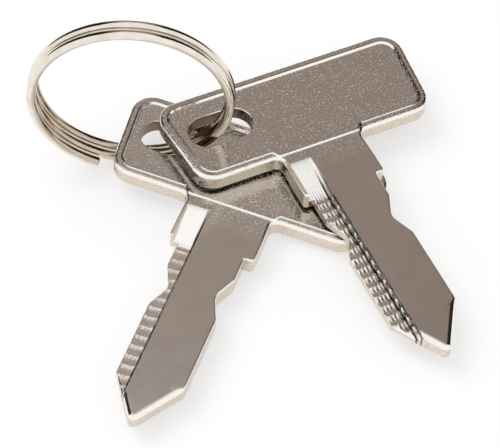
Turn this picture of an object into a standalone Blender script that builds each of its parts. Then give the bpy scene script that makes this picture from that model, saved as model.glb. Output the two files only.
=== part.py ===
"""Two flat plated keys of one blank, threaded on a round-wire split ring.

The set lies as it is put down: the rear key flat at the bottom, the front key
across its bow, and the ring standing up through both slots. Each piece is one
object. Lengths are in metres, +Z is up, and the set stands on z = 0 with the
middle of its bounding box over the origin.

A key is drawn with its blade along -Y, its bow along X, its top face at z = 0
and the middle of the bow's lower edge at the origin.
"""

import math

import bmesh
import bpy
from mathutils import Euler, Matrix, Vector

MM = 0.001

# Key blank
KEY_THICKNESS = 2.3 * MM
BOW_TOP_WIDTH = 32.6 * MM
BOW_ROOT_WIDTH = 30.4 * MM
BOW_HEIGHT = 12.4 * MM
BOW_CORNER = 2.7 * MM
EDGE_ROUND = 0.25 * MM

# Sunk panel on each face of the bow, with a step down to the blade's root
RIM_WIDTH = 1.1 * MM
PANEL_DEPTH = 0.2 * MM
ROOT_RIM_WIDTH = 0.35 * MM
ROOT_STEP_RUN = 0.6 * MM

# Oblong slot for the ring, measured from the bow's lower edge and centre line
SLOT_LENGTH = 8.0 * MM
SLOT_WIDTH = 4.5 * MM
SLOT_SIDE = 9.7 * MM
SLOT_RISE = 6.9 * MM

# Blade: shank, cut blade with one waist on each edge, and the point
SHANK_WIDTH = 10.4 * MM
SHANK_LENGTH = 6.5 * MM
SHOULDER_FILLET = 0.9 * MM
SHANK_CORNER = 0.5 * MM
BLADE_WIDTH = 8.1 * MM
BLADE_LENGTH = 32.6 * MM
WAIST_WIDTH = 5.6 * MM
WAIST_START = 9.9 * MM
WAIST_END = 15.8 * MM
WAIST_RADIUS = 1.6 * MM
POINT_LENGTH = 6.4 * MM
POINT_ROUND = 0.7 * MM
POINT_CHAMFER = 0.55 * MM

# Milled groove, open to the bitted edge below the shank
GROOVE_DEPTH = 1.15 * MM
GROOVE_WIDTH = 2.75 * MM
GROOVE_SIDE = 1.95 * MM
GROOVE_WALL_RUN = 0.3 * MM
GROOVE_START = 1.45 * MM

# Split ring
RING_OUTER_DIAMETER = 24.2 * MM
WIRE_DIAMETER = 1.15 * MM
STRAND_GAP = 0.3 * MM
COIL_TURNS = 2.2
COIL_START_ANGLE = math.radians(253.5)
WIRE_SIDES = 14
STEPS_PER_TURN = 72

# How the set lies
WIRE_CLEARANCE = 0.33 * MM
KEY_GAP = 0.33 * MM
REAR_KEY_TURN = math.radians(-19.75)
FRONT_KEY_TURN = math.radians(26.2)
RING_TURN = math.radians(-3.3)
LEAN_BACK = math.radians(0.8)
LEAN_SIDE = math.radians(4.05)

ARC_STEPS = 8
CUTTER_REACH = 1.0 * MM

MEAN_RADIUS = (RING_OUTER_DIAMETER - WIRE_DIAMETER) / 2
STRAND_PITCH = WIRE_DIAMETER + STRAND_GAP
MID_PLANE = -KEY_THICKNESS / 2


# ---------------------------------------------------------------- outlines
def fillet(before, corner, after, radius):
    """Points of the arc that rounds one corner of an outline."""
    arm_in = (before - corner).normalized()
    arm_out = (after - corner).normalized()
    half_angle = math.acos(max(-1.0, min(1.0, arm_in.dot(arm_out)))) / 2
    centre = corner + (arm_in + arm_out).normalized() * radius / math.sin(half_angle)
    start = corner + arm_in * radius / math.tan(half_angle) - centre
    end = corner + arm_out * radius / math.tan(half_angle) - centre
    sweep = math.atan2(start.cross(end), start.dot(end))
    turns = (Matrix.Rotation(sweep * step / ARC_STEPS, 2) for step in range(ARC_STEPS + 1))
    return [centre + turn @ start for turn in turns]


def rounded(corners):
    """Closed outline from (x, y, radius) corners; a zero radius leaves the corner sharp."""
    places = [Vector((x, y)) for x, y, _ in corners]
    outline = []
    for index, (_, _, radius) in enumerate(corners):
        corner = places[index]
        if radius:
            after = places[(index + 1) % len(places)]
            outline += fillet(places[index - 1], corner, after, radius)
        else:
            outline.append(corner)
    return outline


def mirrored(half):
    """Corners down the right side, then the same corners up the left side."""
    return half + [(-x, y, radius) for x, y, radius in reversed(half)]


def key_outline():
    """The whole blank: bow, shoulders, shank, waisted blade and point."""
    half = [
        (BOW_TOP_WIDTH / 2, BOW_HEIGHT, BOW_CORNER),
        (BOW_ROOT_WIDTH / 2, 0, BOW_CORNER),
        (SHANK_WIDTH / 2, 0, SHOULDER_FILLET),
        (SHANK_WIDTH / 2, -SHANK_LENGTH, SHANK_CORNER),
        (BLADE_WIDTH / 2, -SHANK_LENGTH, 0),
        (BLADE_WIDTH / 2, -WAIST_START, 0),
        (WAIST_WIDTH / 2, -(WAIST_START + WAIST_END) / 2, WAIST_RADIUS),
        (BLADE_WIDTH / 2, -WAIST_END, 0),
        (BLADE_WIDTH / 2, POINT_LENGTH - BLADE_LENGTH, 0),
    ]
    corners = mirrored(half)
    corners.insert(len(half), (0, -BLADE_LENGTH, POINT_ROUND))
    return rounded(corners)


def bow_half_width(height, inset):
    """Half the bow's width at a height, drawn in by an inset square to its sloping side."""
    flare = (BOW_TOP_WIDTH - BOW_ROOT_WIDTH) / 2 / BOW_HEIGHT
    return BOW_ROOT_WIDTH / 2 + flare * height - inset * math.hypot(1, flare)


def panel_outline():
    """The sunk panel: the bow drawn in by the rim, reaching lower over the blade's root."""
    top = BOW_HEIGHT - RIM_WIDTH
    corner = BOW_CORNER - RIM_WIDTH
    root = SHANK_WIDTH / 2
    return rounded(mirrored([
        (bow_half_width(top, RIM_WIDTH), top, corner),
        (bow_half_width(RIM_WIDTH, RIM_WIDTH), RIM_WIDTH, corner),
        (root + ROOT_STEP_RUN, RIM_WIDTH, 0),
        (root, ROOT_RIM_WIDTH, 0),
    ]))


def slot_outline():
    """A stadium along X, centred on the origin."""
    half_length = SLOT_LENGTH / 2
    half_width = SLOT_WIDTH / 2
    quarter = half_width * 0.999
    return rounded(mirrored([(half_length, half_width, quarter), (half_length, -half_width, quarter)]))


def groove_section():
    """Section of the groove cutter, in X and Z, with its sloping inner wall."""
    above = CUTTER_REACH
    wall_slope = GROOVE_WALL_RUN / GROOVE_DEPTH
    outer = -GROOVE_SIDE - GROOVE_WIDTH
    return [
        Vector((outer, above)),
        Vector((outer, -GROOVE_DEPTH)),
        Vector((-GROOVE_SIDE - GROOVE_WALL_RUN, -GROOVE_DEPTH)),
        Vector((-GROOVE_SIDE + above * wall_slope, above)),
    ]


# ---------------------------------------------------------------- solids
def prism(name, outline, bottom, top):
    """Mesh of an outline in X and Y, extruded from bottom to top with its faces out."""
    mesh = bpy.data.meshes.new(name)
    solid = bmesh.new()
    ring = [solid.verts.new((point.x, point.y, bottom)) for point in outline]
    floor = solid.faces.new(ring)
    raised = bmesh.ops.extrude_face_region(solid, geom=[floor])["geom"]
    lifted = [item for item in raised if isinstance(item, bmesh.types.BMVert)]
    bmesh.ops.translate(solid, verts=lifted, vec=(0, 0, top - bottom))
    bmesh.ops.recalc_face_normals(solid, faces=solid.faces)
    solid.to_mesh(mesh)
    solid.free()
    return mesh


def add_object(name, mesh, parent=None):
    """Puts a mesh into the scene under a parent."""
    obj = bpy.data.objects.new(name, mesh)
    bpy.context.collection.objects.link(obj)
    obj.parent = parent
    return obj


def add_pivot(name, matrix, parent=None):
    """An empty that marks a joint's axis or carries the whole set."""
    pivot = add_object(name, None, parent)
    pivot.empty_display_size = 5 * MM
    pivot.matrix_local = matrix
    return pivot


def cut(target, cutter):
    """Takes a cutter out of a target, and keeps the cutter out of the model."""
    cutter.hide_render = True
    cutter.display_type = "WIRE"
    cutter.parent = target
    boolean = target.modifiers.new(cutter.name, "BOOLEAN")
    boolean.operation = "DIFFERENCE"
    boolean.solver = "EXACT"
    boolean.object = cutter


def plated_material(name, colour, roughness):
    """Nickel plating in its own tone."""
    material = bpy.data.materials.new(name)
    material.use_nodes = True
    shader = material.node_tree.nodes["Principled BSDF"]
    shader.inputs["Base Color"].default_value = (*colour, 1)
    shader.inputs["Metallic"].default_value = 1
    shader.inputs["Roughness"].default_value = roughness
    return material


def round_long_edges(key):
    """Rounds the blank's outline, top and bottom, and leaves its upright corners as drawn."""
    weights = key.data.attributes.new("bevel_weight_edge", "FLOAT", "EDGE")
    for edge in key.data.edges:
        first, second = (key.data.vertices[index].co for index in edge.vertices)
        weights.data[edge.index].value = float(abs(first.z - second.z) < KEY_THICKNESS / 2)
    bevel = key.modifiers.new("edge_round", "BEVEL")
    bevel.limit_method = "WEIGHT"
    bevel.width = EDGE_ROUND
    bevel.segments = 2
    bevel.use_clamp_overlap = False


def chamfer_mesh(side):
    """Cutter that bevels the top edge of one slope of the point; side is 1 on the right."""
    over = CUTTER_REACH
    section = [
        Vector((-POINT_CHAMFER - over, over)),
        Vector((over, -POINT_CHAMFER - over)),
        Vector((over, over)),
    ]
    slope_angle = math.atan2(BLADE_WIDTH / 2, POINT_LENGTH)
    slope_length = math.hypot(BLADE_WIDTH / 2, POINT_LENGTH)
    mesh = prism("chamfer", section, -over, slope_length + over)
    mesh.transform(Matrix.Rotation(math.radians(90), 4, "X"))
    mesh.transform(Matrix.Rotation(-slope_angle, 4, "Z"))
    mesh.transform(Matrix.Translation((BLADE_WIDTH / 2, POINT_LENGTH - BLADE_LENGTH, 0)))
    if side < 0:
        mesh.transform(Matrix.Scale(-1, 4, (1, 0, 0)))
        mesh.flip_normals()
    return mesh


def build_key(name, colour, roughness, parent):
    """One key: blank with rounded edges, panels, slot and groove."""
    mesh = prism(name, key_outline(), -KEY_THICKNESS, 0)
    key = add_object(name, mesh, parent)
    mesh.materials.append(plated_material(name + "_plating", colour, roughness))
    round_long_edges(key)

    panels = {
        "panel_top": (-PANEL_DEPTH, CUTTER_REACH),
        "panel_bottom": (-KEY_THICKNESS - CUTTER_REACH, -KEY_THICKNESS + PANEL_DEPTH),
    }
    for side, (bottom, top) in panels.items():
        cut(key, add_object(f"{name}_{side}", prism(side, panel_outline(), bottom, top)))

    slot = prism("slot", slot_outline(), -KEY_THICKNESS - CUTTER_REACH, CUTTER_REACH)
    slot_cutter = add_object(f"{name}_slot", slot)
    slot_cutter.location = (-SLOT_SIDE, SLOT_RISE, 0)
    cut(key, slot_cutter)

    # The groove's section is drawn in X and Z, so its prism is tipped onto the blade's length.
    run = BLADE_LENGTH + CUTTER_REACH
    groove = prism("groove", groove_section(), GROOVE_START, run)
    groove.transform(Matrix.Rotation(math.radians(90), 4, "X"))
    cut(key, add_object(f"{name}_groove", groove))

    for side, label in ((1, "right"), (-1, "left")):
        cut(key, add_object(f"{name}_{label}_chamfer", chamfer_mesh(side)))
    return key


def coil_point(angle, out, along):
    """A point beside the coil's centre line, in the ring's own frame with its axis along Z."""
    reach = MEAN_RADIUS + out
    return Vector((reach * math.cos(angle), reach * math.sin(angle), along))


def build_ring(parent, seat_angle, colour, roughness):
    """The wire, wound clockwise seen along the ring's axis, with two strands centred on the seat."""
    mesh = bpy.data.meshes.new("split_ring")
    coil = bmesh.new()
    steps = round(COIL_TURNS * STEPS_PER_TURN)
    seated_turn = (COIL_START_ANGLE - seat_angle) / math.tau + 0.5
    wire_radius = WIRE_DIAMETER / 2
    sections = []
    for step in range(steps + 1):
        turn = step * COIL_TURNS / steps
        angle = COIL_START_ANGLE - turn * math.tau
        rise = (seated_turn - turn) * STRAND_PITCH
        section = []
        for side in range(WIRE_SIDES):
            around = side * math.tau / WIRE_SIDES
            place = coil_point(angle, wire_radius * math.cos(around), rise + wire_radius * math.sin(around))
            section.append(coil.verts.new(place))
        sections.append(section)
    for near, far in zip(sections, sections[1:]):
        for side in range(WIRE_SIDES):
            after = (side + 1) % WIRE_SIDES
            coil.faces.new((near[side], near[after], far[after], far[side]))
    coil.faces.new(sections[0])
    coil.faces.new(sections[-1])
    bmesh.ops.recalc_face_normals(coil, faces=coil.faces)
    coil.to_mesh(mesh)
    coil.free()
    mesh.shade_smooth()
    mesh.set_sharp_from_angle(angle=math.radians(40))
    mesh.materials.append(plated_material("split_ring_plating", colour, roughness))
    return add_object("split_ring", mesh, parent)


# ---------------------------------------------------------------- how the pieces meet
def ring_angle_at(height, centre_height):
    """Angle on the ring, counted from +X, at which its rising side reaches a height."""
    return math.asin((height - centre_height) / MEAN_RADIUS)


def slot_seat(angle, strand_spread, towards):
    """Where the wire crosses a slot's mid plane when it bears on one end of the slot.

    The wire leans by the ring's angle there, so it needs room along the slot for half the
    key's thickness, for its own half width and for the clearance.
    """
    slope = math.pi / 2 + angle
    reach = KEY_THICKNESS / 2 / math.tan(slope) + (WIRE_DIAMETER / 2 + WIRE_CLEARANCE) / math.sin(slope)
    room = max(0.0, SLOT_LENGTH / 2 - reach - strand_spread)
    return Vector((-SLOT_SIDE + towards * room, SLOT_RISE, MID_PLANE))


def key_matrix(turn, seat, place):
    """Puts a key's seat point at a place, turned about the upright."""
    return Matrix.Translation(place) @ Matrix.Rotation(turn, 4, "Z") @ Matrix.Translation(-seat)


def stand_on_floor(frame):
    """Moves the whole set so that it rests on z = 0 with its box centred over the origin."""
    bpy.context.view_layer.update()
    graph = bpy.context.evaluated_depsgraph_get()
    corners = []
    for obj in bpy.data.objects:
        if obj.type == "MESH" and not obj.hide_render:
            shape = obj.evaluated_get(graph)
            corners += [shape.matrix_world @ vertex.co for vertex in shape.data.vertices]
    low = [min(corner[axis] for corner in corners) for axis in range(3)]
    high = [max(corner[axis] for corner in corners) for axis in range(3)]
    frame.location = (-(low[0] + high[0]) / 2, -(low[1] + high[1]) / 2, -low[2])


def main():
    for obj in list(bpy.data.objects):
        bpy.data.objects.remove(obj, do_unlink=True)

    frame = add_pivot("set_frame", Euler((LEAN_BACK, LEAN_SIDE, 0)).to_matrix().to_4x4())

    # Heights in the frame count from the rear key's mid plane. The ring's lowest turn runs
    # just under the rear bow, and its rising side crosses both slots.
    centre_height = MEAN_RADIUS - (KEY_THICKNESS / 2 + WIRE_DIAMETER / 2 + WIRE_CLEARANCE)
    front_height = KEY_THICKNESS + KEY_GAP
    rear_angle = ring_angle_at(0, centre_height)
    front_angle = ring_angle_at(front_height, centre_height)
    along_ring = Vector((math.cos(RING_TURN), math.sin(RING_TURN), 0))
    rear_place = along_ring * MEAN_RADIUS * math.cos(rear_angle)
    front_place = along_ring * MEAN_RADIUS * math.cos(front_angle) + Vector((0, 0, front_height))

    def spread(turn):
        return abs(math.sin(turn - RING_TURN)) * STRAND_PITCH / 2

    rear_seat = slot_seat(ring_angle_at(KEY_THICKNESS / 2, centre_height), spread(REAR_KEY_TURN), 1)
    front_seat = slot_seat(front_angle, spread(FRONT_KEY_TURN), -1)

    rear_key = build_key("rear_key", (0.44, 0.40, 0.37), 0.34, frame)
    rear_key.matrix_local = key_matrix(REAR_KEY_TURN, rear_seat, rear_place)

    # The ring's axis looks along -Y, and its own X runs along the set.
    ring_frame = Matrix.Translation((0, 0, centre_height)) @ Matrix.Rotation(RING_TURN, 4, "Z")
    ring_axis = add_pivot("ring_axis", ring_frame @ Matrix.Rotation(math.radians(90), 4, "X"), frame)
    build_ring(ring_axis, (rear_angle + front_angle) / 2, (0.72, 0.68, 0.62), 0.16)

    front_pivot = add_pivot("front_key_pivot", Matrix.Translation(front_place), frame)
    front_key = build_key("front_key", (0.40, 0.36, 0.33), 0.34, front_pivot)
    front_key.matrix_local = key_matrix(FRONT_KEY_TURN, front_seat, Vector())

    stand_on_floor(frame)
    bpy.context.view_layer.update()


main()
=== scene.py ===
"""Looks for two flat plated keys on a split ring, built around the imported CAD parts.

Sizes are in millimetres, in a key's or the ring's own frame, and a mesh is scaled to
metres as it is put in its place. A key is drawn with its blade along -Y, its bow along
X, its top face at z = 0 and the middle of the bow's lower edge at the origin.
"""
import logging
import math
from dataclasses import dataclass, field
from enum import Enum
from typing import Iterable, Sequence, Union

import bpy
import numpy as np
from mathutils import Matrix, Vector
from mathutils.geometry import delaunay_2d_cdt


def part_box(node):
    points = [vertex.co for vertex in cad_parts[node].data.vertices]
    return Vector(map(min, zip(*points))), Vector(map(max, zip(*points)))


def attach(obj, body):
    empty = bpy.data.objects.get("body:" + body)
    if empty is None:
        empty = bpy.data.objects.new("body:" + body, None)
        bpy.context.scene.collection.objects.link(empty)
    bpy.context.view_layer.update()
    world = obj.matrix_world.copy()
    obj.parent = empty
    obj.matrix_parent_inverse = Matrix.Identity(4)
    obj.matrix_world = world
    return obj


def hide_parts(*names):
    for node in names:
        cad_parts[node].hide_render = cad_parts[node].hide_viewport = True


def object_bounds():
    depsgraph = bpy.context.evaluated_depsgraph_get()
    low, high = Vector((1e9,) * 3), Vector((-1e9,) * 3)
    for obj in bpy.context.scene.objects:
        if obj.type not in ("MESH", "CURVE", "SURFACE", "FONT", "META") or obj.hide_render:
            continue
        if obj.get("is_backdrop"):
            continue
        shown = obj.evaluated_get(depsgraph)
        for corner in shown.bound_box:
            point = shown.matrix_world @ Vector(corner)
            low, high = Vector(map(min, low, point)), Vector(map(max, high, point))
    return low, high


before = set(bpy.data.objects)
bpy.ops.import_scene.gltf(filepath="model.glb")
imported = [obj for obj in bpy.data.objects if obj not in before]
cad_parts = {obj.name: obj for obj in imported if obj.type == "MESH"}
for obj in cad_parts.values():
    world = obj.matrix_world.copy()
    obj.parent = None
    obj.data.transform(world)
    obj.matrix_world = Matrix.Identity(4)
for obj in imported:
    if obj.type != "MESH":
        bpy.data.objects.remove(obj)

LOG = logging.getLogger("key_set")
MM = 0.001
Colour = tuple[float, float, float]
Corner = tuple[float, float, float]


# ---------------------------------------------------------------- shader nodes
class Socket:
    """An output socket that stands in arithmetic, adding one Math node for each sign."""

    def __init__(self, nodes: "NodeBench", output: bpy.types.NodeSocket) -> None:
        """Wraps one output of a node on a bench."""
        self.nodes = nodes
        self.output = output

    def _maths(self, operation: str, first: "Value", second: "Value") -> "Socket":
        """Adds a Math node on two values."""
        return self.nodes.add("ShaderNodeMath", {"operation": operation}, {0: first, 1: second})

    def __add__(self, other: "Value") -> "Socket":
        """Sum."""
        return self._maths("ADD", self, other)

    __radd__ = __add__

    def __sub__(self, other: "Value") -> "Socket":
        """Difference."""
        return self._maths("SUBTRACT", self, other)

    def __rsub__(self, other: "Value") -> "Socket":
        """Difference from a number."""
        return self._maths("SUBTRACT", other, self)

    def __mul__(self, other: "Value") -> "Socket":
        """Product."""
        return self._maths("MULTIPLY", self, other)

    __rmul__ = __mul__

    def __truediv__(self, other: "Value") -> "Socket":
        """Quotient."""
        return self._maths("DIVIDE", self, other)

    def __pow__(self, other: "Value") -> "Socket":
        """Power."""
        return self._maths("POWER", self, other)

    def __abs__(self) -> "Socket":
        """Size without sign."""
        return self._maths("ABSOLUTE", self, 0.0)

    def larger(self, other: "Value") -> "Socket":
        """The larger of the two values."""
        return self._maths("MAXIMUM", self, other)

    def swing(self, other: "Value") -> "Socket":
        """The angle whose sine and cosine go as this value and the other."""
        return self._maths("ARCTAN2", self, other)


Value = Union[Socket, float, tuple]


class NodeBench:
    """A node tree with one method that adds any node."""

    def __init__(self, tree: bpy.types.NodeTree) -> None:
        """Clears a tree and takes it over."""
        self.tree = tree
        tree.nodes.clear()

    def add(self, kind: str, settings: dict, inputs: dict, output: Union[int, str] = 0) -> Socket:
        """Adds a node.

        Args:
            kind: The node's type name.
            settings: Properties set before the sockets; "stops" fills a colour ramp.
            inputs: Socket name or index to a value or a socket.
            output: Name or index of the output that is returned.

        Returns:
            The wrapped output, or an empty wrapper if the node has no outputs.
        """
        node = self.tree.nodes.new(kind)
        for name, value in settings.items():
            if name == "stops":
                self._fill_ramp(node.color_ramp, value)
            else:
                setattr(node, name, value)
        for name, value in inputs.items():
            if isinstance(value, Socket):
                self.tree.links.new(value.output, node.inputs[name])
            else:
                node.inputs[name].default_value = value
        return Socket(self, node.outputs[output]) if node.outputs else Socket(self, None)

    @staticmethod
    def _fill_ramp(ramp: bpy.types.ColorRamp, stops: Sequence[tuple[float, Colour]]) -> None:
        """Sets a ramp's stops from (place, colour) pairs."""
        while len(ramp.elements) < len(stops):
            ramp.elements.new(0.5)
        for element, (place, colour) in zip(ramp.elements, stops):
            element.position = place
            element.color = (*colour, 1)

    def blend(self, factor: Value, low: Value, high: Value) -> Socket:
        """Mixes two colours, each a colour tuple or a socket."""
        pair = [value if isinstance(value, Socket) else (*value, 1) for value in (low, high)]
        settings = {"data_type": "RGBA", "clamp_factor": True}
        return self.add("ShaderNodeMix", settings, {0: factor, 6: pair[0], 7: pair[1]}, 2)

    def step(self, value: Value, start: float, end: float) -> Socket:
        """Rises smoothly from 0 to 1 as a value goes from start to end."""
        settings = {"interpolation_type": "SMOOTHSTEP"}
        return self.add("ShaderNodeMapRange", settings, {0: value, 1: start, 2: end})

    def noise(self, place: Socket, scale: float, detail: float = 2.0, roughness: float = 0.5) -> Socket:
        """Noise from 0 to 1 with a number of cells for each millimetre."""
        inputs = {"Vector": place, "Scale": scale, "Detail": detail, "Roughness": roughness}
        return self.add("ShaderNodeTexNoise", {}, inputs, 0)


# ---------------------------------------------------------------- finishes
@dataclass(frozen=True)
class KeyPlating:
    """Worn nickel plating on a stamped key: satin faces, with a painted highlight on the rounded edges, painted shade
    on the walls, in the slot and along the groove wall, and painted glints on the pits.
    """

    name: str
    face: Colour
    # edge is a painted highlight: a lighter colour laid on the rounded edges, picked out by their slope
    edge: Colour = (0.93, 0.90, 0.84)
    # wall is painted shade: a darker tan laid on the upright walls, for the shade they lie in near the floor
    wall: Colour = (0.80, 0.71, 0.60)
    # slot_shade is painted shade: the dark brown laid on the walls inside the slot
    slot_shade: Colour = (0.26, 0.19, 0.145)
    milled: Colour = (0.99, 0.97, 0.93)
    toothed: Colour = (0.80, 0.745, 0.69)
    # crease_shade_and_patch is near black: painted shade along the groove wall's foot and top edge, and the dark
    # patches on the bow's left-facing walls
    crease_shade_and_patch: Colour = (0.07, 0.055, 0.045)
    face_roughness: float = 0.15
    edge_roughness: float = 0.15
    pits_per_mm: float = 4.2
    slot_centre: tuple[float, float, float] = (-9.7, 6.9, 0.0)

    def make(self, placement: "Placement") -> bpy.types.Material:
        """Builds the material, with places read in the key's own frame."""
        material = bpy.data.materials.new(self.name)
        material.use_nodes = True
        bench = NodeBench(material.node_tree)
        place, normal = placement.own_frame(bench)
        x = bench.add("ShaderNodeSeparateXYZ", {}, {0: place}, "X")
        y = bench.add("ShaderNodeSeparateXYZ", {}, {0: place}, "Y")
        upright = abs(bench.add("ShaderNodeSeparateXYZ", {}, {0: normal}, "Z"))

        is_face = bench.step(upright, 0.93, 0.995)
        is_wall = 1 - bench.step(upright, 0.05, 0.35)
        on_bow = bench.step(y, -4.0, -0.5)
        in_groove = bench.step(x, -1.9, -2.05) * (1 - bench.step(y, -2.0, -1.0))
        in_teeth = in_groove * bench.step(y, -6.2, -7.2)
        rough_part = on_bow.larger(in_teeth * 0.9) * (1 - in_groove * (1 - in_teeth))

        # Painted shade inside the slot: the walls near the slot's centre are marked here and darkened below
        near_slot = bench.add("ShaderNodeVectorMath", {"operation": "DISTANCE"}, {
            0: bench.add("ShaderNodeVectorMath", {"operation": "MULTIPLY"}, {0: place, 1: (1, 1, 0)}),
            1: self.slot_centre,
        }, "Value")
        slot_shade_mask = 1 - bench.step(near_slot, 4.1, 4.4)

        cloud = bench.noise(place, 0.35, 3.0)
        grain = bench.noise(place, 2.2, 3.0, 0.6)
        patches = bench.step(bench.noise(place, 0.8, 2.0), 0.35, 0.65)
        pits_and_glints = bench.step(bench.noise(place, self.pits_per_mm, 1.0) + 0.06 * patches, 0.59, 0.71)
        dents = bench.noise(place, 3.4, 2.0, 0.6)
        stretch = bench.add("ShaderNodeMapping", {}, {"Vector": place, "Scale": (9.0, 0.5, 9.0)})
        lines = bench.noise(stretch, 1.0, 2.0)

        light = 0.86 + 0.14 * cloud + 0.06 * grain + on_bow * (0.25 - 0.20 * bench.step(dents, 0.50, 0.38))
        face = bench.blend(light, (0, 0, 0), self.face)
        # Painted glints: the pits take a near-white colour, strongly on the bow and faintly on the blade; the same
        # pits also roughen and bump the face
        glint_speckled = bench.blend(pits_and_glints * (0.05 + 0.80 * on_bow), face, (1.0, 0.96, 0.90))
        cut = bench.blend(in_teeth, self.milled, self.toothed)
        glint_speckled = bench.blend(in_groove * 0.95, glint_speckled, cut)
        # Painted highlight: where the normal tilts off the flat face, the rounded edges take the lighter edge colour
        edge_highlighted = bench.blend(is_face, self.edge, glint_speckled)
        # Painted shade: the upright walls take the darker tan wall colour, a little varied by the dents noise
        tan = bench.blend(bench.step(dents, 0.35, 0.6), tuple(0.82 * part for part in self.wall), self.wall)
        # Painted shade: the walls round the slot take the dark slot colour
        tan = bench.blend(slot_shade_mask, tan, self.slot_shade)
        colour = bench.blend(is_wall, edge_highlighted, tan)
        # Painted shade: thin dark lines, broken by the draw lines, along the foot and the top edge of the groove's
        # wall, fading in down the blade
        at_foot = 1 - bench.step(abs(x + 2.33), 0.05, 0.10)
        at_top = 1 - bench.step(abs(x + 2.01), 0.03, 0.07)
        crease_shade_mask = at_foot.larger(at_top) * bench.step(y, -2.5, -6.0)
        colour = bench.blend(crease_shade_mask * (0.5 + 0.5 * bench.step(lines, 0.60, 0.50)), colour, self.crease_shade_and_patch)
        # Dark grainy patches on the bow's walls that face -X in the key's frame
        facing_left = bench.step(bench.add("ShaderNodeSeparateXYZ", {}, {0: normal}, "X"), -0.45, -0.85)
        left_wall_patches = is_wall * on_bow * facing_left * bench.step(grain, 0.62, 0.44)
        colour = bench.blend(left_wall_patches * 0.9, colour, self.crease_shade_and_patch)

        rough = self.edge_roughness + is_face * (self.face_roughness - self.edge_roughness)
        rough = rough + is_wall * 0.12 + cloud * 0.04 + pits_and_glints * rough_part * 0.10

        at_edge = 1 - is_face
        relief = pits_and_glints * (0.04 + 0.96 * rough_part) * (1 - in_groove * (1 - in_teeth)) * 0.013 + dents * (at_edge * 0.016 + on_bow * 0.003)
        relief = relief + lines * (in_groove * 0.003 + in_teeth * 0.015)
        bump = {"Height": relief, "Distance": MM, "Strength": 0.9}
        bumped = bench.add("ShaderNodeBump", {}, bump)

        shader = bench.add("ShaderNodeBsdfPrincipled", {}, {
            "Base Color": colour, "Metallic": 1.0, "Roughness": rough, "Normal": bumped,
        })
        bench.add("ShaderNodeOutputMaterial", {}, {"Surface": shader})
        return material


@dataclass(frozen=True)
class WirePlating:
    """Bright plating on the ring's drawn wire, with fine draw lines and faint scuffs, and painted shade on the wire's
    inner side.
    """

    name: str
    bright: Colour = (0.87, 0.82, 0.74)
    # dull_and_shade is the duller tone for the random cloud, scuffs and draw lines, and painted shade on the side
    # facing the ring's axis
    dull_and_shade: Colour = (0.56, 0.47, 0.37)
    roughness: float = 0.07

    def make(self, placement: "Placement") -> bpy.types.Material:
        """Builds the material, with places read in the ring's own frame."""
        material = bpy.data.materials.new(self.name)
        material.use_nodes = True
        bench = NodeBench(material.node_tree)
        place, normal = placement.own_frame(bench)
        flat = bench.add("ShaderNodeVectorMath", {"operation": "MULTIPLY"}, {0: place, 1: (1, 1, 0)})
        across = bench.add("ShaderNodeVectorMath", {"operation": "LENGTH"}, {0: flat}, "Value")
        along = bench.add("ShaderNodeSeparateXYZ", {}, {0: place}, "Z")
        drawn = bench.add("ShaderNodeCombineXYZ", {}, {"X": across, "Y": along})
        lines = bench.noise(drawn, 9.0, 2.0)
        cloud = bench.noise(place, 0.5, 3.0)
        scuffs = bench.step(bench.noise(place, 3.0, 3.0, 0.7), 0.58, 0.70)

        out = bench.add("ShaderNodeVectorMath", {"operation": "NORMALIZE"}, {0: flat})
        facing_out = bench.add("ShaderNodeVectorMath", {"operation": "DOT_PRODUCT"}, {0: normal, 1: out}, "Value")
        # Painted shade: the side of the wire that faces the ring's axis is darkened toward the dull colour, for the
        # shade and dark reflections between the strands
        inner_side_shade = bench.step(facing_out, 0.15, -0.55)
        tone = bench.step(cloud, 0.3, 0.7) * 0.3 + scuffs * 0.2 + bench.step(lines, 0.5, 0.7) * 0.15
        tone = tone + inner_side_shade * 0.8
        colour = bench.blend(tone, self.bright, self.dull_and_shade)
        rough = self.roughness + scuffs * 0.07 + cloud * 0.05
        relief = lines * 0.006 + scuffs * 0.002
        bumped = bench.add("ShaderNodeBump", {}, {"Height": relief, "Distance": MM, "Strength": 0.8})
        shader = bench.add("ShaderNodeBsdfPrincipled", {}, {
            "Base Color": colour, "Metallic": 1.0, "Roughness": rough, "Normal": bumped,
        })
        bench.add("ShaderNodeOutputMaterial", {}, {"Surface": shader})
        return material


@dataclass(frozen=True)
class FloorPaper:
    """White paper that shows as the pale background and keeps the soft shadow."""

    name: str = "floor_paper"
    albedo: float = 0.52
    glow: float = 0.52

    def make(self) -> bpy.types.Material:
        """Builds the material: paper, and a glow seen by the camera and in the metal."""
        material = bpy.data.materials.new(self.name)
        material.use_nodes = True
        bench = NodeBench(material.node_tree)
        place = bench.add("ShaderNodeTexCoord", {}, {}, "Object")
        fibre = bench.noise(place, 60.0, 2.0)
        level = self.albedo - 0.01 * fibre
        paper_colour = bench.add("ShaderNodeCombineColor", {}, {0: level, 1: level, 2: level})
        paper = bench.add("ShaderNodeBsdfDiffuse", {}, {"Color": paper_colour})
        seen = seen_directly(bench)
        glow = bench.add("ShaderNodeEmission", {}, {"Color": (1, 1, 1, 1), "Strength": seen * self.glow})
        both = bench.add("ShaderNodeAddShader", {}, {0: paper, 1: glow})
        bench.add("ShaderNodeOutputMaterial", {}, {"Surface": both})
        return material


def seen_directly(bench: NodeBench) -> Socket:
    """1 for camera, glossy and transmission rays, and 0 for light that falls on things."""
    camera = bench.add("ShaderNodeLightPath", {}, {}, "Is Camera Ray")
    glossy = bench.add("ShaderNodeLightPath", {}, {}, "Is Glossy Ray")
    through = bench.add("ShaderNodeLightPath", {}, {}, "Is Transmission Ray")
    return camera.larger(glossy).larger(through)


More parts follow.
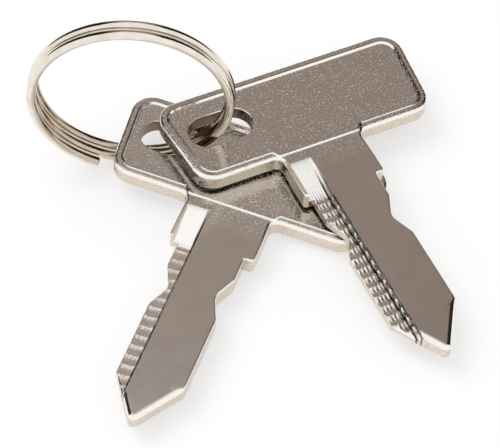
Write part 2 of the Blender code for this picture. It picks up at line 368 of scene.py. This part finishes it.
# ---------------------------------------------------------------- outlines
@dataclass
class Outline:
    """A closed curve in a key's plane, wound counter-clockwise."""

    points: np.ndarray

    @classmethod
    def from_corners(cls, corners: Sequence[Corner], spacing: float, arc_steps: int = 14) -> "Outline":
        """Rounds (x, y, radius) corners and splits long sides to a spacing."""
        places = [Vector((x, y)) for x, y, _ in corners]
        path: list[Vector] = []
        for index, (_, _, radius) in enumerate(corners):
            corner = places[index]
            if radius:
                after = places[(index + 1) % len(places)]
                path += cls._fillet(places[index - 1], corner, after, radius, arc_steps)
            else:
                path.append(corner)
        points = []
        for here, there in zip(path, path[1:] + path[:1]):
            pieces = max(1, math.ceil((there - here).length / spacing))
            points += [here.lerp(there, part / pieces)[:] for part in range(pieces)]
        array = np.array(points)
        shifted = np.roll(array, -1, axis=0)
        area = np.sum(array[:, 0] * shifted[:, 1] - shifted[:, 0] * array[:, 1])
        return cls(array if area > 0 else array[::-1].copy())

    @staticmethod
    def _fillet(before: Vector, corner: Vector, after: Vector, radius: float, steps: int) -> list[Vector]:
        """Points of the arc that rounds one corner."""
        arm_in = (before - corner).normalized()
        arm_out = (after - corner).normalized()
        half_angle = math.acos(max(-1.0, min(1.0, arm_in.dot(arm_out)))) / 2
        centre = corner + (arm_in + arm_out).normalized() * radius / math.sin(half_angle)
        start = corner + arm_in * radius / math.tan(half_angle) - centre
        end = corner + arm_out * radius / math.tan(half_angle) - centre
        sweep = math.atan2(start.cross(end), start.dot(end))
        return [centre + Matrix.Rotation(sweep * step / steps, 2) @ start for step in range(steps + 1)]

    def signed(self, spots: np.ndarray) -> np.ndarray:
        """Distance from each spot to the curve, positive inside."""
        start = self.points
        end = np.roll(start, -1, axis=0)
        side = end - start
        length = np.maximum((side**2).sum(1), 1e-12)
        result = np.empty(len(spots))
        for first in range(0, len(spots), 1500):
            batch = spots[first:first + 1500, None, :]
            along = np.clip(((batch - start) * side).sum(2) / length, 0, 1)
            gap = batch - (start + along[..., None] * side)
            nearest = np.sqrt((gap**2).sum(2)).min(1)
            spans = (start[:, 1] > batch[..., 1]) != (end[:, 1] > batch[..., 1])
            rise = np.where(side[:, 1] == 0, 1e-12, side[:, 1])
            crossing = start[:, 0] + (batch[..., 1] - start[:, 1]) * side[:, 0] / rise
            inside = (spans & (batch[..., 0] < crossing)).sum(1) % 2 == 1
            result[first:first + 1500] = np.where(inside, nearest, -nearest)
        return result

    def beside(self, insets: Iterable[float]) -> np.ndarray:
        """Spots beside the curve at each inset, leaving out those that fall nearer than it."""
        along = np.roll(self.points, -1, axis=0) - np.roll(self.points, 1, axis=0)
        along /= np.maximum(np.linalg.norm(along, axis=1), 1e-9)[:, None]
        inward = np.stack([-along[:, 1], along[:, 0]], axis=1)
        rows = []
        for inset in insets:
            spots = self.points + inward * inset
            rows.append(spots[np.abs(self.signed(spots)) > abs(inset) * 0.93])
        return np.concatenate(rows)


def smooth(value: np.ndarray) -> np.ndarray:
    """Smooth rise from 0 to 1."""
    part = np.clip(value, 0, 1)
    return part * part * (3 - 2 * part)


def rounding(depth_in: np.ndarray, radius: np.ndarray) -> np.ndarray:
    """Drop of a quarter-round edge at a distance in from the edge."""
    short = np.clip(radius - depth_in, 0, radius)
    return np.sqrt(np.maximum(radius**2 - short**2, 0)) - radius


class Side(Enum):
    """Which face of a key is being shaped."""

    TOP = "top"
    UNDER = "under"


# ---------------------------------------------------------------- pieces
@dataclass
class Placement:
    """Where a piece's own frame lies in the set, in millimetres."""

    origin: tuple[float, float, float]
    x_axis: tuple[float, float, float]
    y_axis: tuple[float, float, float]

    def matrix(self) -> Matrix:
        """The frame as a matrix in metres."""
        x_axis = Vector(self.x_axis).normalized()
        z_axis = x_axis.cross(Vector(self.y_axis)).normalized()
        y_axis = z_axis.cross(x_axis)
        turn = Matrix((x_axis, y_axis, z_axis)).transposed().to_4x4()
        return Matrix.Translation(Vector(self.origin) * MM) @ turn

    def own_frame(self, bench: NodeBench) -> tuple[Socket, Socket]:
        """Adds the nodes that bring a spot and its normal back to the piece's own frame.

        Args:
            bench: The node tree to add to.

        Returns:
            The spot in millimetres and the normal.
        """
        back = {"vector_type": "TEXTURE"}
        turn = self.matrix().to_euler()[:]
        start = tuple(part * MM for part in self.origin)
        spot = bench.add("ShaderNodeTexCoord", {}, {}, "Object")
        spot = bench.add("ShaderNodeMapping", back, {"Vector": spot, "Location": start, "Rotation": turn})
        spot = bench.add("ShaderNodeVectorMath", {"operation": "SCALE"}, {0: spot, "Scale": 1 / MM})
        normal = bench.add("ShaderNodeTexCoord", {}, {}, "Normal")
        return spot, bench.add("ShaderNodeMapping", back, {"Vector": normal, "Rotation": turn})


@dataclass
class Key:
    """One flat key: bow with a sunk panel and slot, waisted blade with a milled groove."""

    node: str
    body: str
    placement: Placement
    plating: KeyPlating
    thickness: float = 2.3
    bow_top_width: float = 32.6
    bow_root_width: float = 30.4
    bow_height: float = 12.4
    bow_corner: float = 2.7
    bow_edge_round: float = 0.42
    blade_edge_round: float = 0.20
    point_edge_round: float = 0.58
    rim_width: float = 1.1
    rim_crown: float = 0.05
    panel_depth: float = 0.2
    panel_step: float = 0.22
    bead_height: float = 0.06
    bead_width: float = 0.09
    root_bead_height: float = 0.13
    root_bead_width: float = 0.15
    root_rim_width: float = 0.35
    root_step_run: float = 0.6
    slot_length: float = 8.0
    slot_width: float = 4.5
    slot_side: float = 9.7
    slot_rise: float = 6.9
    slot_edge_round: float = 0.14
    shank_width: float = 10.4
    shank_length: float = 6.5
    shoulder_fillet: float = 0.9
    shank_corner: float = 0.5
    blade_width: float = 8.1
    blade_length: float = 32.6
    waist_width: float = 5.6
    waist_start: float = 9.9
    waist_end: float = 15.8
    waist_radius: float = 1.6
    point_length: float = 6.4
    point_round: float = 0.7
    groove_depth: float = 1.15
    groove_side: float = 1.95
    groove_width: float = 2.75
    groove_start: float = 1.45
    groove_ramp: float = 5.6
    tooth_pitch: float = 1.45
    tooth_depth: float = 0.12
    streaks: int = 5
    streak_depth: float = 0.030
    outline: Outline = field(init=False)
    panel: Outline = field(init=False)
    slot: Outline = field(init=False)

    def __post_init__(self) -> None:
        """Draws the key's three curves."""
        half_blade = self.blade_width / 2
        half = [
            (self.bow_top_width / 2, self.bow_height, self.bow_corner),
            (self.bow_root_width / 2, 0, self.bow_corner),
            (self.shank_width / 2, 0, self.shoulder_fillet),
            (self.shank_width / 2, -self.shank_length, self.shank_corner),
            (half_blade, -self.shank_length, 0),
            (half_blade, -self.waist_start, 0.25),
            (self.waist_width / 2, -(self.waist_start + self.waist_end) / 2, self.waist_radius),
            (half_blade, -self.waist_end, 0.25),
            (half_blade, self.point_length - self.blade_length, 0.3),
        ]
        corners = half + [(0, -self.blade_length, self.point_round)]
        corners += [(-x, y, radius) for x, y, radius in reversed(half)]
        self.outline = Outline.from_corners(corners, 0.30)

        flare = (self.bow_top_width - self.bow_root_width) / 2 / self.bow_height
        top = self.bow_height - self.rim_width
        inset = self.rim_width * math.hypot(1, flare)
        corner = self.bow_corner - self.rim_width
        root = self.shank_width / 2
        panel_half = [
            (self.bow_root_width / 2 + flare * top - inset, top, corner),
            (self.bow_root_width / 2 + flare * self.rim_width - inset, self.rim_width, corner),
            (root + self.root_step_run, self.rim_width, 0.5),
            (root, self.root_rim_width, 0.5),
        ]
        mirror = [(-x, y, radius) for x, y, radius in reversed(panel_half)]
        self.panel = Outline.from_corners(panel_half + mirror, 0.40)

        reach, lift = self.slot_length / 2, self.slot_width / 2
        slot_corners = [(1, 1), (1, -1), (-1, -1), (-1, 1)]
        self.slot = Outline.from_corners([
            (reach * side - self.slot_side, lift * rise + self.slot_rise, lift * 0.995)
            for side, rise in slot_corners
        ], 0.22, 16)

    def edge_round(self, y: np.ndarray) -> np.ndarray:
        """Radius of the outer edge: large on the bow, small on the blade, large at the point."""
        blade = self.blade_edge_round
        on_bow = smooth((y + 4.5) / 4.0)
        at_point = smooth((self.point_length - self.blade_length + 0.5 - y) / 1.2)
        return blade + (self.bow_edge_round - blade) * on_bow + (self.point_edge_round - blade) * at_point

    def groove_floor(self, spots: np.ndarray) -> np.ndarray:
        """Depth of the milled groove at each spot, 0 outside it.

        The floor runs down from the bow as the cutter sinks in, then carries the cutter's
        feed marks across it and its streaks along it.
        """
        x, y = spots[:, 0], spots[:, 1]
        run = -self.groove_start - y
        sunk = np.clip(run / self.groove_ramp, 0, 1)
        depth = 0.10 + (self.groove_depth - 0.10) * (sunk - 0.06 * np.sin(2 * math.pi * sunk) / math.pi)
        toothed = smooth((run - self.groove_ramp + 0.6) / 1.2)
        across = (x + self.groove_side + 0.35) / (self.groove_width - 0.35)
        phase = (run + 0.16 * np.sin(math.pi * across)) / self.tooth_pitch
        tooth = (2 * (phase - np.floor(phase)) - 1) ** 2
        streak = 0.5 - 0.5 * np.cos(2 * math.pi * self.streaks * across + 1.7 * np.floor(phase))
        light_streak = 0.5 - 0.5 * np.cos(2 * math.pi * 7 * across)
        depth = depth - toothed * (self.tooth_depth * tooth + self.streak_depth * streak)
        depth = depth - (1 - toothed) * 0.008 * light_streak * sunk
        side = self.groove_side
        wall = np.interp(
            x,
            [-side - self.groove_width - 0.02, -side - self.groove_width, -side - 0.34, -side - 0.29,
             -side - 0.10, -side - 0.05, -side],
            [0, 1, 1, 0.55, 0.45, 0.04, 0],
        )
        head = np.interp(run, [0, 0.03], [0, 1])
        return np.maximum(depth, 0) * wall * head

    def height(self, spots: np.ndarray, side: Side) -> np.ndarray:
        """How far a face lies below the blank's flat face at each spot, as a negative height."""
        inset = self.outline.signed(spots)
        radius = self.edge_round(spots[:, 1])
        into_panel = self.panel.signed(spots)
        height = -self.panel_depth * smooth(into_panel / self.panel_step + 0.5)
        at_root = smooth((1.0 - spots[:, 1]) / 0.4) * smooth((self.shank_width / 2 + 0.6 - np.abs(spots[:, 0])) / 0.6)
        bead = self.bead_height + (self.root_bead_height - self.bead_height) * at_root
        wide = self.bead_width + (self.root_bead_width - self.bead_width) * at_root
        height = height + bead * np.exp(-((into_panel / wide + 1.2) ** 2))
        on_bow = smooth((spots[:, 1] + 0.6) / 1.0)
        crown = np.clip(1 - inset / self.rim_width, 0, 1) ** 2
        height = height - self.rim_crown * crown * on_bow
        if side is Side.TOP:
            floor = self.groove_floor(spots)
            in_groove = floor > 0.02
            height = height - floor
            radius = np.where(in_groove & (spots[:, 1] > -26.5), np.minimum(radius, 0.08), radius)
            radius = np.where(in_groove & (spots[:, 1] <= -26.5), np.minimum(radius, 0.30), radius)
        height = height + rounding(inset, radius)
        off_slot = -self.slot.signed(spots)
        return height + rounding(off_slot, np.full(len(spots), self.slot_edge_round))

    def spots(self, side: Side) -> np.ndarray:
        """Spots inside the blank that carry a face's shape, besides the two boundary curves."""
        insets = (0.01, 0.035, 0.075, 0.12, 0.17, 0.22, 0.30, 0.38, 0.44, 0.56, 0.68, 0.80)
        near_edge = self.outline.beside(insets)
        steps = (-0.74, -0.62, -0.51, -0.42, -0.34, -0.27, -0.21, -0.16, -0.11, -0.06, 0.0, 0.05, 0.10, 0.14)
        near_panel = self.panel.beside(steps)
        near_slot = self.slot.beside((-0.015, -0.04, -0.08, -0.12, -0.16))
        edge_inset = self.outline.signed(near_edge)
        limit = self.edge_round(near_edge[:, 1]) + 0.14
        near_edge = near_edge[edge_inset < limit]
        across, up = np.meshgrid(np.arange(-17, 17, 0.8), np.arange(-33, 13, 0.8))
        coarse = np.stack([across.ravel(), up.ravel()], axis=1)
        coarse = coarse[self.outline.signed(coarse) > 1.0]
        into_panel = self.panel.signed(coarse)
        coarse = coarse[(into_panel > 0.45) | (into_panel < -0.95)]
        coarse = coarse[self.slot.signed(coarse) < -0.4]
        parts = [near_edge, near_panel, near_slot, coarse]
        if side is Side.TOP:
            outer = -self.groove_side - self.groove_width
            columns = np.concatenate([
                [outer - 0.03, outer - 0.01, outer + 0.01],
                np.linspace(outer + 0.07, -self.groove_side - 0.40, 27),
                np.array([-0.34, -0.29, -0.20, -0.10, -0.05, 0.0, 0.04]) - self.groove_side,
            ])
            rows = -self.groove_start + np.concatenate([
                [0.04, 0.0, -0.03], -np.arange(0.15, self.blade_length, self.tooth_pitch / 11),
            ])
            grid = np.stack([part.ravel() for part in np.meshgrid(columns, rows)], axis=1)
            grid = grid[self.outline.signed(grid) > 0.10]
            in_the_way = (coarse[:, 0] > outer - 0.3) & (coarse[:, 0] < -self.groove_side + 0.3)
            in_the_way &= coarse[:, 1] < -self.groove_start + 0.3
            parts = [near_edge, near_panel, near_slot, coarse[~in_the_way], grid]
        inner = np.concatenate(parts)
        keep = (self.outline.signed(inner) > 0.004) & (self.slot.signed(inner) < -0.004)
        inner = np.unique(np.round(inner[keep], 4), axis=0)
        return inner

    def face(self, side: Side) -> tuple[np.ndarray, list[tuple[int, ...]]]:
        """Fills the blank's outline, less the slot, with triangles.

        Returns:
            The spots, with the outline's and then the slot's curve first, and the triangles.
        """
        rim, hole = len(self.outline.points), len(self.slot.points)
        spots = np.concatenate([self.outline.points, self.slot.points, self.spots(side)])
        edges = [(index, (index + 1) % rim) for index in range(rim)]
        edges += [(rim + index, rim + (index + 1) % hole) for index in range(hole)]
        result = delaunay_2d_cdt([Vector(spot) for spot in spots], edges, [], 0, 1e-5)
        places = np.array([place[:] for place in result[0]])
        origin = [min(first) if first else -1 for first in result[3]]
        triangles = np.array([face for face in result[2] if len(face) == 3])
        centres = places[triangles].mean(1)
        keep = (self.outline.signed(centres) > 0) & (self.slot.signed(centres) < 0)
        kept = [tuple(origin[corner] for corner in face) for face in triangles[keep]]
        return spots, [face for face in kept if min(face) >= 0 and len(set(face)) == 3]

    def mesh(self) -> bpy.types.Mesh:
        """The whole key as one closed mesh, in metres."""
        rim, hole = len(self.outline.points), len(self.slot.points)
        top_spots, top_faces = self.face(Side.TOP)
        under_spots, under_faces = self.face(Side.UNDER)
        top_z = self.height(top_spots, Side.TOP)
        under_z = -self.thickness - self.height(under_spots, Side.UNDER)
        top = np.column_stack([top_spots, top_z])
        under = np.column_stack([under_spots, under_z])
        loops = [(0, rim), (rim, hole)]
        vertices = [top, under]
        faces = list(top_faces)
        start_under = len(top)
        faces += [tuple(corner + start_under for corner in reversed(face)) for face in under_faces]
        total = len(top) + len(under)
        for first, count in loops:
            bands = [np.arange(first, first + count)]
            for part in (0.2, 0.5, 0.8):
                ring = top[first:first + count] * (1 - part) + under[first:first + count] * part
                vertices.append(ring)
                bands.append(np.arange(total, total + count))
                total += count
            bands.append(np.arange(first, first + count) + start_under)
            for high, low in zip(bands, bands[1:]):
                for index in range(count):
                    after = (index + 1) % count
                    wall = (high[index], low[index], low[after], high[after])
                    faces.append(wall if first == 0 else wall[::-1])
        mesh = bpy.data.meshes.new(self.node + "_finished")
        points = np.concatenate(vertices) * MM
        mesh.from_pydata(points.tolist(), [], [tuple(int(corner) for corner in face) for face in faces])
        mesh.validate()
        mesh.shade_smooth()
        mesh.set_sharp_from_angle(angle=math.radians(34))
        return mesh

    def build(self) -> bpy.types.Object:
        """Makes the key, puts it in its place and lets it ride on its body."""
        mesh = self.mesh()
        mesh.materials.append(self.plating.make(self.placement))
        key = add_piece(self.node + "_finished", mesh, self.placement, self.body)
        weighted = key.modifiers.new("even_faces", "WEIGHTED_NORMAL")
        weighted.keep_sharp = True
        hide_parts(self.node)
        return key


@dataclass
class SplitRing:
    """Round wire wound a little over two turns, with cut and dulled ends."""

    placement: Placement
    plating: WirePlating
    outer_diameter: float = 24.2
    wire_diameter: float = 1.15
    strand_pitch: float = 1.45
    turns: float = 2.2
    start_degrees: float = 253.5
    seated_turn: float = 1.3314
    sides: int = 32
    steps_per_turn: int = 150
    end_round: float = 0.12

    def centre(self, turn: float) -> tuple[Vector, Vector]:
        """A point on the wire's centre line and the direction out from the ring's axis."""
        angle = math.radians(self.start_degrees) - turn * math.tau
        out = Vector((math.cos(angle), math.sin(angle), 0))
        reach = (self.outer_diameter - self.wire_diameter) / 2
        rise = (self.seated_turn - turn) * self.strand_pitch
        return out * reach + Vector((0, 0, rise)), out

    def mesh(self) -> bpy.types.Mesh:
        """The wire as one closed mesh, in metres."""
        radius = self.wire_diameter / 2
        steps = round(self.turns * self.steps_per_turn)
        around = math.tau * (self.outer_diameter - self.wire_diameter) / 2
        end_turn = self.end_round / around
        ends = [(end_turn * part, 1 - self.end_round / radius * (1 - math.sqrt(1 - (1 - part) ** 2)))
                for part in (0.0, 0.15, 0.4, 0.7)]
        stations = list(ends)
        stations += [(end_turn + step * (self.turns - 2 * end_turn) / steps, 1.0) for step in range(steps + 1)]
        stations += [(self.turns - turn, size) for turn, size in reversed(ends)]
        vertices, faces = [], []
        for turn, size in stations:
            middle, out = self.centre(turn)
            for side in range(self.sides):
                angle = side * math.tau / self.sides
                offset = out * math.cos(angle) + Vector((0, 0, math.sin(angle)))
                vertices.append((middle + offset * radius * size) * MM)
        for row in range(len(stations) - 1):
            for side in range(self.sides):
                after = (side + 1) % self.sides
                near, far = row * self.sides, (row + 1) * self.sides
                faces.append((near + side, near + after, far + after, far + side))
        faces.append(tuple(reversed(range(self.sides))))
        faces.append(tuple(range(len(vertices) - self.sides, len(vertices))))
        mesh = bpy.data.meshes.new("split_ring_finished")
        mesh.from_pydata([vertex[:] for vertex in vertices], [], faces)
        mesh.validate()
        mesh.shade_smooth()
        mesh.set_sharp_from_angle(angle=math.radians(50))
        return mesh

    def build(self) -> bpy.types.Object:
        """Makes the ring, puts it in its place and lets it ride on its body."""
        mesh = self.mesh()
        mesh.materials.append(self.plating.make(self.placement))
        ring = add_piece("split_ring_finished", mesh, self.placement, "ring_body")
        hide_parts("split_ring")
        return ring


def add_piece(name: str, mesh: bpy.types.Mesh, placement: Placement, body: str) -> bpy.types.Object:
    """Links a mesh into the scene at its place and lets it ride on a body."""
    mesh.transform(placement.matrix())
    piece = bpy.data.objects.new(name, mesh)
    bpy.context.scene.collection.objects.link(piece)
    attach(piece, body)
    return piece


# ---------------------------------------------------------------- studio
@dataclass(frozen=True)
class ShadeCard:
    """A curved card that the metal sees behind the set: grey-brown in the middle, black beside."""

    name: str = "shade_card"
    reach: float = 0.9
    half_width_degrees: float = 80.0
    top_degrees: float = 60.5
    middle_turn: float = 0.07
    middle_reach: float = 0.30
    black: Colour = (0.015, 0.012, 0.010)
    middle: Colour = (0.433, 0.375, 0.333)

    def make_material(self) -> bpy.types.Material:
        """Builds the card's own tone, set by height and by the turn to either side."""
        material = bpy.data.materials.new(self.name)
        material.use_nodes = True
        bench = NodeBench(material.node_tree)
        place = bench.add("ShaderNodeTexCoord", {}, {}, "Object")
        side = bench.add("ShaderNodeSeparateXYZ", {}, {0: place}, "X")
        back = bench.add("ShaderNodeSeparateXYZ", {}, {0: place}, "Y")
        up = bench.add("ShaderNodeSeparateXYZ", {}, {0: place}, "Z") / self.reach
        aside = abs(side.swing(back) - self.middle_turn)
        in_middle = 1 - bench.step(aside, self.middle_reach, self.middle_reach + 0.14)
        colour = bench.blend(in_middle * bench.step(up, 0.25, 0.55), self.black, self.middle)
        tone = bench.add("ShaderNodeEmission", {}, {"Color": colour, "Strength": 1.0})
        bench.add("ShaderNodeOutputMaterial", {}, {"Surface": tone})
        return material

    def build(self) -> bpy.types.Object:
        """Makes the card and marks it as part of the stage."""
        columns, rows = 40, 24
        vertices, faces = [], []
        for row in range(rows + 1):
            rise = math.radians(1.0 + (self.top_degrees - 1.0) * row / rows)
            for column in range(columns + 1):
                swing = math.radians(self.half_width_degrees) * (2 * column / columns - 1)
                flat = math.cos(rise) * self.reach
                vertices.append((math.sin(swing) * flat, math.cos(swing) * flat, math.sin(rise) * self.reach))
        for row in range(rows):
            for column in range(columns):
                first = row * (columns + 1) + column
                faces.append((first, first + 1, first + columns + 2, first + columns + 1))
        mesh = bpy.data.meshes.new(self.name)
        mesh.from_pydata(vertices, [], faces)
        mesh.materials.append(self.make_material())
        card = bpy.data.objects.new(self.name, mesh)
        bpy.context.scene.collection.objects.link(card)
        card.visible_camera = False
        card.visible_diffuse = False
        card.visible_shadow = False
        card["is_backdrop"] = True
        return card


@dataclass
class Studio:
    """Pale floor, soft lamps, white surroundings and the camera."""

    floor: FloorPaper = field(default_factory=FloorPaper)
    card: ShadeCard = field(default_factory=ShadeCard)
    camera_place: tuple[float, float, float] = (1.29, -221.87, 283.40)
    camera_elevation: float = 51.61
    lens: float = 221.6
    lamp_watts: float = 1.3
    sky: float = 0.72

    def build_floor(self) -> None:
        """Lays the floor under the set."""
        mesh = bpy.data.meshes.new("floor")
        count, reach = 48, 3.0
        ring = [(reach * math.cos(math.tau * part / count), reach * math.sin(math.tau * part / count), 0)
                for part in range(count)]
        mesh.from_pydata(ring, [], [tuple(range(count))])
        mesh.materials.append(self.floor.make())
        floor = bpy.data.objects.new("floor", mesh)
        bpy.context.scene.collection.objects.link(floor)
        floor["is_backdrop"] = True

    def build_world(self) -> None:
        """White surroundings at strength 1 where seen, and a softer level where they light."""
        world = bpy.data.worlds.new("studio")
        bpy.context.scene.world = world
        world.use_nodes = True
        bench = NodeBench(world.node_tree)
        strength = self.sky + seen_directly(bench) * (1 - self.sky)
        back = bench.add("ShaderNodeBackground", {}, {"Color": (1, 1, 1, 1), "Strength": strength})
        bench.add("ShaderNodeOutputWorld", {}, {"Surface": back})

    def build_lamps(self) -> None:
        """One soft lamp from behind on the left, which throws the shadow to the right."""
        lamp = bpy.data.lights.new("soft_lamp", "AREA")
        lamp.shape = "DISK"
        lamp.size = 0.50
        lamp.energy = self.lamp_watts
        lamp.color = (1.0, 0.985, 0.96)
        place = Vector((-0.30, 0.16, 0.52))
        holder = bpy.data.objects.new("soft_lamp", lamp)
        holder.location = place
        holder.rotation_euler = (-place).to_track_quat("-Z", "Y").to_euler()
        holder.visible_glossy = False
        bpy.context.scene.collection.objects.link(holder)

    def build_camera(self) -> None:
        """Sets the camera on the set from the front and above."""
        data = bpy.data.cameras.new("camera")
        data.lens = self.lens
        data.sensor_width = 36
        data.clip_start = 0.01
        camera = bpy.data.objects.new("camera", data)
        camera.location = Vector(self.camera_place) * MM
        camera.rotation_euler = (math.radians(90 - self.camera_elevation), 0, 0)
        bpy.context.scene.collection.objects.link(camera)
        bpy.context.scene.camera = camera

    def build(self) -> None:
        """Builds the whole studio."""
        self.build_floor()
        self.card.build()
        self.build_world()
        self.build_lamps()
        self.build_camera()
        bpy.context.scene.view_settings.view_transform = "Standard"


REAR_PLACE = Placement((-0.972, 2.422, 3.525), (0.93849, -0.33788, -0.07118), (0.33800, 0.94108, -0.01076))
FRONT_PLACE = Placement((9.560, 10.395, 5.527), (0.89545, 0.44146, -0.05722), (-0.43952, 0.89717, 0.04368))
RING_PLACE = Placement((-12.489, 12.020, 12.816), (0.99579, -0.05756, -0.07131), (0.07062, -0.01396, 0.99741))


def main() -> None:
    """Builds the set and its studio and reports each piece."""
    logging.basicConfig(level=logging.INFO, format="%(name)s: %(message)s")
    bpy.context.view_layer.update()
    pieces = [
        # The rear key's face colour is set lighter than the front key's: painted light, standing in for the stronger
        # light falling on the rear key
        Key("rear_key", "rear_key_body", REAR_PLACE, KeyPlating("rear_key_plating", (0.648, 0.610, 0.578)),
            tooth_depth=0.05, streak_depth=0.012),
        Key("front_key", "front_key_body", FRONT_PLACE, KeyPlating("front_key_plating", (0.600, 0.543, 0.507))),
        SplitRing(RING_PLACE, WirePlating("split_ring_plating")),
    ]
    for piece in pieces:
        made = piece.build()
        node = getattr(piece, "node", "split_ring")
        low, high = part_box(node)
        corners = [made.matrix_world @ vertex.co for vertex in made.data.vertices]
        over = max(
            max(low[axis] - min(corner[axis] for corner in corners),
                max(corner[axis] for corner in corners) - high[axis])
            for axis in range(3)
        )
        LOG.info("%s: %d faces, %.3f mm outside its CAD box", made.name, len(made.data.polygons), over / MM)
    Studio().build()
    low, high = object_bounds()


if __name__ == "__main__":
    main()
